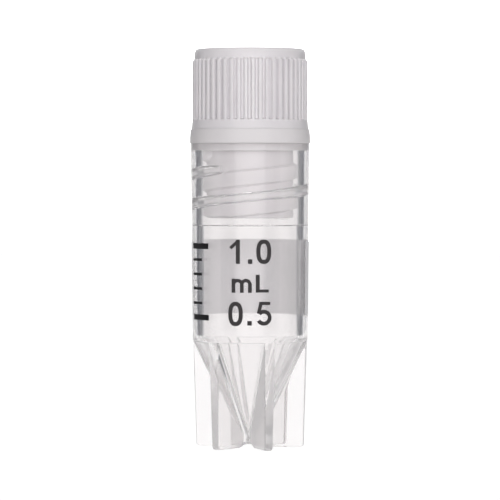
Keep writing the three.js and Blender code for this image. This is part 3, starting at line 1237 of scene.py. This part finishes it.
@dataclass
class ScrewCap:
    """Milky cap with a knurled grip and a threaded, hollow plug. Sizes in mm."""

    plug_end: float = 23.8
    flange_z: float = 32.95
    knurl_z: float = 33.86
    crown_z: float = 40.1
    top_z: float = 41.25
    plug_radius: float = 4.48
    plug_chamfer: float = 0.1
    hollow_end: float = 3.38
    hollow_top: float = 3.23
    hollow_round: float = 0.5
    ceiling: float = 39.55
    ceiling_ring: float = 1.2
    band_low: float = 6.09
    knurl_radius: float = 5.99
    knurl_depth: float = 0.33
    knurl_run_out: float = 0.16
    crown_radius: float = 5.79
    crown_round: float = 0.3
    crown_drop: float = 0.8
    crown_ease_from: float = 0.1
    crown_ease: float = 0.24
    recess: float = 4.29
    recess_depth: float = 0.5
    recess_ring: float = 2.5
    rib_count: int = 50
    rib_crest: float = 0.16
    rib_root: float = 0.36
    rib_turn: float = -0.5
    rib_half: tuple[float, ...] = (0.19, 0.25, 0.31, 0.37, 0.42)
    grip_low: tuple[float, ...] = (0.0, 0.03, 0.06, 0.09, 0.12, 0.16, 0.4)
    grip_high: tuple[float, ...] = (-0.3, -0.16, -0.1, -0.05, 0.0, 0.05, 0.1, 0.16)
    grip_gap: float = 0.02
    edge_round: float = 0.02
    ridge_rows: int = 80
    ridge_room: float = 1.45
    wall_room: float = 1.0
    ridge_tail: float = 0.12
    ridge: ThreadRidge = ThreadRidge(
        root_width=1.77, crest_width=1.32, lead_in=20.0, top_azimuth=306.06, top_z=30.61, sweep=826.0
    )
    # Its grooves get painted shade, darker towards the cap's sides as the eye sees them.
    finish: MilkyPlastic = MilkyPlastic("moulded_milky_polypropylene", painted_shade_share=0.26)

    def columns(self) -> tuple[Array, Array]:
        """Azimuth of each column, and the groove's share there, from 0 on a rib to 1 between ribs."""
        half = np.array(self.rib_half)
        share = np.concatenate([[-0.5], -half[::-1], [0.0], half])
        ribs = np.arange(self.rib_count)[:, None] + 0.5
        azimuth = self.rib_turn + ((ribs + share[None, :]) * 360.0 / self.rib_count).ravel()
        depth = smooth_step((np.abs(share) - self.rib_crest) / (self.rib_root - self.rib_crest))
        return azimuth, np.tile(depth, self.rib_count)

    def plug_rows(self) -> Array:
        """Hollow, plug end and plug wall, from the hollow's ceiling round to the flange."""
        r, plug = self.hollow_round, self.plug_radius
        hollow = arc((self.hollow_top - r, self.ceiling - r), r, 90.0, 0.0, 7)
        end, edge = (self.hollow_end, self.plug_end), (plug - self.plug_chamfer, self.plug_end)
        low, high = (plug, self.plug_end + self.plug_chamfer), (plug, self.flange_z - self.ridge_room)
        parts = [
            ((0.0, self.ceiling), (self.ceiling_ring, self.ceiling)),
            hollow,
            line(hollow[-1], end, 8),
            line(end, edge, 2),
            line(edge, low, 3),
            line(low, high, self.ridge_rows),
            line(high, (plug, self.flange_z), 2),
        ]
        return np.concatenate(parts)

    def outside_rows(self) -> Array:
        """Flange, band, grip, crown and top recess, from the flange's underside to the axis."""
        root, r, low = self.crown_radius, self.edge_round, self.flange_z
        grip_low = np.array(self.grip_low) + self.knurl_z
        grip_high = np.array(self.grip_high) + self.crown_z
        grip = np.concatenate([grip_low, np.linspace(grip_low[-1], grip_high[0], 8)[1:-1], grip_high])
        crown = arc((root - self.crown_round, 0.0), self.crown_round, 0.0, 90.0, 12)
        crown[:, 1] = self.top_z - self.crown_drop * (1.0 - crown[:, 1] / self.crown_round)
        floor = self.top_z - self.recess_depth
        parts = [
            line((self.plug_radius, low), (self.band_low - r, low), 4),
            arc((self.band_low - r, low + r), r, -90.0, 0.0, 5)[1:],
            line((self.band_low, low + r), (self.knurl_radius, self.knurl_z - self.grip_gap), 5),
            np.stack([np.full(len(grip), self.knurl_radius), grip], axis=-1),
            line((root, grip[-1]), (root, self.top_z - self.crown_drop), 3),
            crown[1:],
            arc((self.recess + r, self.top_z - r), r, 90.0, 180.0, 4),
            arc((self.recess - r, floor + r), r, 0.0, -90.0, 4),
            ((self.recess_ring, floor), (0.0, floor)),
        ]
        return np.concatenate(parts)

    def build(self) -> Object:
        """One closed skin. Grooves sink between the ribs, and the thread stands out of the plug.

        The grip's radius is the rib's radius less depth * groove * ease, where the ease grows
        over the run-out above the band. At the crown every radius eases to the crown's own.
        """
        azimuth, groove = self.columns()
        plug, outside = self.plug_rows(), self.outside_rows()
        plug_z = np.broadcast_to(plug[:, 1:], (len(plug), len(azimuth)))
        on_wall = plug[:, :1] >= self.plug_radius - TINY
        on_wall &= plug[:, 1:] < self.flange_z - self.wall_room
        tail = smooth_step((plug_z - self.plug_end - self.plug_chamfer) / self.ridge_tail)
        plug_r = plug[:, :1] + np.where(on_wall, self.ridge.rise(azimuth, plug_z) * tail, 0.0)
        z = outside[:, 1:]
        in_grip = (z >= self.knurl_z - TINY) & (np.abs(outside[:, :1] - self.knurl_radius) < TINY)
        sunk = self.knurl_depth * groove * smooth_step((z - self.knurl_z) / self.knurl_run_out)
        closing = smooth_step((z - self.crown_z + self.crown_ease_from) / self.crown_ease)
        grip_r = self.knurl_radius - sunk
        grip_r = grip_r + (self.crown_radius - grip_r) * closing
        outside_r = np.where(in_grip, grip_r, outside[:, :1])
        radius = np.concatenate([plug_r, outside_r])
        height = np.concatenate([plug_z, np.broadcast_to(z, outside_r.shape)])
        points = polar(radius, np.broadcast_to(azimuth, radius.shape), height)
        return piece("knurled_cap", [closed_skin([ringed(points)])])

    def dress(self, cap: Object) -> None:
        """Gives the cap its milky plastic and its body."""
        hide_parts("screw_cap")
        settle(cap, self.finish, Body.CAP)


# ---- Studio ----


def aimed(name: str, data: bpy.types.ID, place: Vector, target: Vector) -> Object:
    """Adds a camera or a lamp that looks from one place at another.

    Args:
        name: the object's name.
        data: the camera or the lamp.
        place: mm.
        target: mm.

    Returns:
        The object, linked to the scene.
    """
    made = bpy.data.objects.new(name, data)
    bpy.context.scene.collection.objects.link(made)
    made.location = place * MM
    made.rotation_mode = "QUATERNION"
    made.rotation_quaternion = (target * MM - made.location).to_track_quat("-Z", "Y")
    return made


@dataclass
class Studio:
    """Camera, pale floor, white surroundings and a soft lamp. Lengths in mm."""

    camera_distance: float = 300.0
    camera_height: float = 27.7
    aim: tuple[float, float] = (-0.005, 20.44)
    lens: float = 208.0
    floor_half: float = 95.0
    floor_near: float = 200.0
    floor_far: float = 1000.0
    floor_white: str = "e9e9e9"
    floor_fill: float = 0.585
    ambient: float = 0.09
    front_fill: float = 3.06
    front_power: float = 6.5
    back_fill: float = 3.0
    back_power: float = 4.0
    front: tuple[float, float, float] = (0.05, -0.998, -0.05)
    top_fill: float = 0.2
    dark_sector: float = 0.065
    dark_tint: str = "c4dcff"
    above: float = 0.75
    lobe_edge: float = 30.0
    lobe_softness: float = 1.5
    band_top: float = 11.0
    band_softness: float = 0.85
    key_power: float = 2.0
    key_place: tuple[float, float, float] = (140.0, -900.0, 220.0)
    key_size: float = 520.0

    def place_camera(self) -> None:
        """A long lens, level with the thread and aimed slightly down at the vial's middle."""
        data = bpy.data.cameras.new("camera")
        data.lens, data.clip_start, data.clip_end = self.lens, 0.01, 10.0
        place = Vector((0.0, -self.camera_distance, self.camera_height))
        bpy.context.scene.camera = aimed("camera", data, place, Vector((self.aim[0], 0.0, self.aim[1])))

    def lay_floor(self) -> None:
        """A strip of pale floor under and behind the vial.

        It takes shade as a matte white does. What the camera, glass and gloss see of it is lifted
        to white, apart from the shade under the foot.
        """
        x, near, far = self.floor_half, -self.floor_near, self.floor_far
        mesh = bpy.data.meshes.new("floor")
        corners = np.array([[-x, near, 0.0], [x, near, 0.0], [x, far, 0.0], [-x, far, 0.0]]) * MM
        mesh.from_pydata(corners.tolist(), [], [(0, 1, 2, 3)])
        floor = bpy.data.objects.new("floor", mesh)
        bpy.context.scene.collection.objects.link(floor)
        material = bpy.data.materials.new("pale_floor")
        material.use_nodes = True
        tree = material.node_tree
        tree.nodes.clear()
        path = add_node(tree, "ShaderNodeLightPath").outputs
        found = {"seen": path["Is Camera Ray"], "gloss": path["Is Glossy Ray"]}
        found["through"] = path["Is Transmission Ray"]
        steps = (
            ("either", "MAXIMUM", "gloss", "through"),
            ("white", "MAXIMUM", "seen", "either"),
            ("lift", "MULTIPLY", "white", self.floor_fill),
        )
        wire_steps(tree, found, steps)
        matte = add_node(tree, "ShaderNodeBsdfDiffuse", {"Color": linear(self.floor_white)})
        glow = add_node(tree, "ShaderNodeEmission", {"Strength": found["lift"]})
        both = add_node(tree, "ShaderNodeAddShader", {0: matte.outputs[0], 1: glow.outputs[0]})
        add_node(tree, "ShaderNodeOutputMaterial", {"Surface": both.outputs[0]})
        mesh.materials.append(material)

    def surround(self) -> None:
        """White surroundings, with four darker uprights that clear plastic shows as dark edges.

        With x and y the parts of a direction along the floor, the uprights lie where
        ||x| - |y|| / |(x, y)| is small, half way between the four sides, near the horizon. They
        are slightly bluish. Matte surfaces are lit softly from everywhere, more from the front,
        from behind and from above.
        """
        world = bpy.data.worlds.new("studio")
        bpy.context.scene.world = world
        world.use_nodes = True
        tree = world.node_tree
        tree.nodes.clear()
        place = add_node(tree, "ShaderNodeTexCoord").outputs["Generated"]
        east, north, up = add_node(tree, "ShaderNodeSeparateXYZ", {0: place}).outputs
        path = add_node(tree, "ShaderNodeLightPath").outputs
        ahead = {0: place, 1: self.front}
        facing = add_node(tree, "ShaderNodeVectorMath", ahead, {"operation": "DOT_PRODUCT"}).outputs["Value"]
        edge = [math.radians(self.lobe_edge + turn) for turn in (self.lobe_softness, -self.lobe_softness)]
        side_low, side_high = (math.cos(turn) - math.sin(turn) for turn in edge)
        high = math.sin(math.radians(self.band_top))
        found: dict[str, object] = {
            "east": east,
            "north": north,
            "up": up,
            "facing": facing,
            "glossy": path["Is Glossy Ray"],
            "through": path["Is Transmission Ray"],
            "camera": path["Is Camera Ray"],
        }
        steps = (
            ("x", "ABSOLUTE", "east"),
            ("y", "ABSOLUTE", "north"),
            ("z", "ABSOLUTE", "up"),
            ("z squared", "MULTIPLY", "z", "z"),
            ("level squared", "SUBTRACT", 1.0, "z squared"),
            ("level kept", "MAXIMUM", "level squared", 1e-8),
            ("level", "SQRT", "level kept"),
            ("difference", "SUBTRACT", "x", "y"),
            ("unlike", "ABSOLUTE", "difference"),
            ("beside", "DIVIDE", "unlike", "level"),
            ("lobe", "SMOOTHSTEP", "beside", side_low, side_high),
            ("over", "SMOOTHSTEP", "z", high * self.band_softness, high),
            ("above", "MULTIPLY", "over", self.above),
            ("pale", "MAXIMUM", "lobe", "above"),
            ("shown", "MULTIPLY_ADD", "pale", 1.0 - self.dark_sector, self.dark_sector),
            ("ahead", "MAXIMUM", "facing", 0.0),
            ("front", "POWER", "ahead", self.front_power),
            ("away", "MULTIPLY", "facing", -1.0),
            ("behind", "MAXIMUM", "away", 0.0),
            ("back", "POWER", "behind", self.back_power),
            ("upward", "MAXIMUM", "up", 0.0),
            ("soft", "MULTIPLY_ADD", "upward", self.top_fill, self.ambient),
            ("softer", "MULTIPLY_ADD", "front", self.front_fill, "soft"),
            ("fill", "MULTIPLY_ADD", "back", self.back_fill, "softer"),
            ("either", "MAXIMUM", "glossy", "through"),
            ("neither", "SUBTRACT", 1.0, "either"),
            ("plain", "MAXIMUM", "pale", "neither"),
            ("filled", "MULTIPLY", "neither", "fill"),
            ("lit", "MULTIPLY_ADD", "either", "shown", "filled"),
            ("strength", "MAXIMUM", "camera", "lit"),
        )
        wire_steps(tree, found, steps)
        ends = {0: found["plain"], 6: linear(self.dark_tint), 7: linear("ffffff")}
        colour = add_node(tree, "ShaderNodeMix", ends, {"data_type": "RGBA"}).outputs[2]
        sky = add_node(tree, "ShaderNodeBackground", {"Color": colour, "Strength": found["strength"]})
        add_node(tree, "ShaderNodeOutputWorld", {"Surface": sky.outputs[0]})

    def light(self) -> None:
        """One broad soft lamp in front and a little above, slightly to the right."""
        data = bpy.data.lights.new("key", "AREA")
        data.shape, data.size, data.energy = "SQUARE", self.key_size * MM, self.key_power
        lamp = aimed("key", data, Vector(self.key_place), Vector((0.0, 0.0, self.aim[1])))
        lamp.visible_camera = lamp.visible_glossy = lamp.visible_transmission = False

    def build(self) -> None:
        """Sets up the whole studio and the plain view transform."""
        scene = bpy.context.scene
        scene.view_settings.view_transform = "Standard"
        self.place_camera()
        self.lay_floor()
        self.surround()
        self.light()


def main() -> None:
    """Builds the studio, then the vial from the tube up."""
    logging.basicConfig(level=logging.INFO, format="%(name)s: %(message)s")
    Studio().build()
    tube = VialTube()
    tube.dress(tube.build())
    printing = Printing(tube)
    printing.dress(*printing.build())
    ring = SealingRing()
    ring.dress(ring.build())
    cap = ScrewCap()
    cap.dress(cap.build())


if __name__ == "__main__":
    main()
